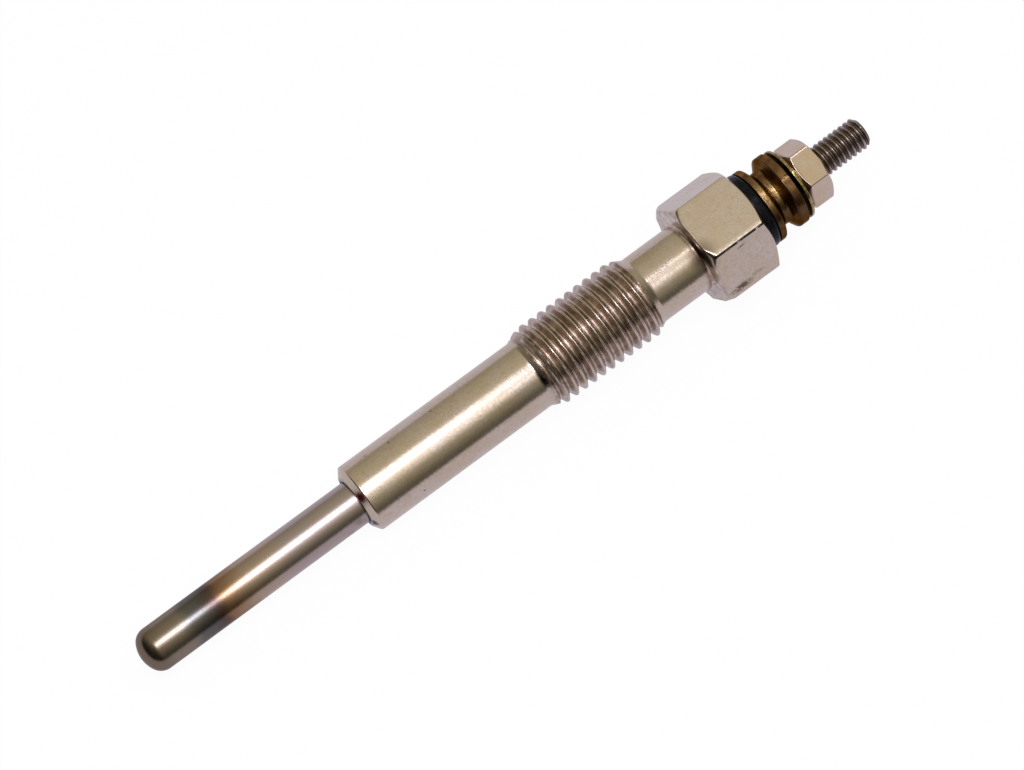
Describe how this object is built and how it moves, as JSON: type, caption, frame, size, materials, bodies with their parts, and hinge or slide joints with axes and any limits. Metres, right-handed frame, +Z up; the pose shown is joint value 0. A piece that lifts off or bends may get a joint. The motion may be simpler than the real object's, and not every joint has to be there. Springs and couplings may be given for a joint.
{
  "type": "diesel glow plug",
  "caption": "Sheathed glow plug for a diesel engine: thin rounded heating tube, plated threaded body with hexagon, black insulating ring, grooved brass nut and threaded terminal with flange nut.",
  "frame": {"origin": "middle of the plug's length and width, on the flat surface that it lies on", "axes": "+X along the plug from the glow tube's tip towards the terminal, +Z up; the axis rises a little towards the terminal because the plug lies on its nose and on one flat of its hexagon"},
  "size_m": [0.099, 0.0138, 0.0123],
  "materials": {
    "plated_steel": "worn satin plating with a warm tone",
    "tube_steel": "satin, with heat tint near the tip",
    "heating_wire": "drawn wire",
    "control_wire": "drawn wire",
    "magnesia": "compacted powder",
    "red_rubber": "moulded",
    "dark_steel": "darkened, with brown in the thread",
    "black_rubber": "moulded",
    "black_plastic": "glossy moulded",
    "brass": "turned, tarnished brown",
    "yellow_zinc": "yellow passivated zinc"
  },
  "bodies": {
    "root": {"housing": "plated_steel", "glow_tube": "tube_steel", "heating_coil": "heating_wire", "control_coil": "control_wire", "magnesia_fill": "magnesia", "tube_seal": "red_rubber", "centre_electrode": "dark_steel", "body_seal": "black_rubber", "insulating_bush": "black_plastic", "round_nut": "brass", "terminal_nut": "yellow_zinc"}
  },
  "joints": []
}
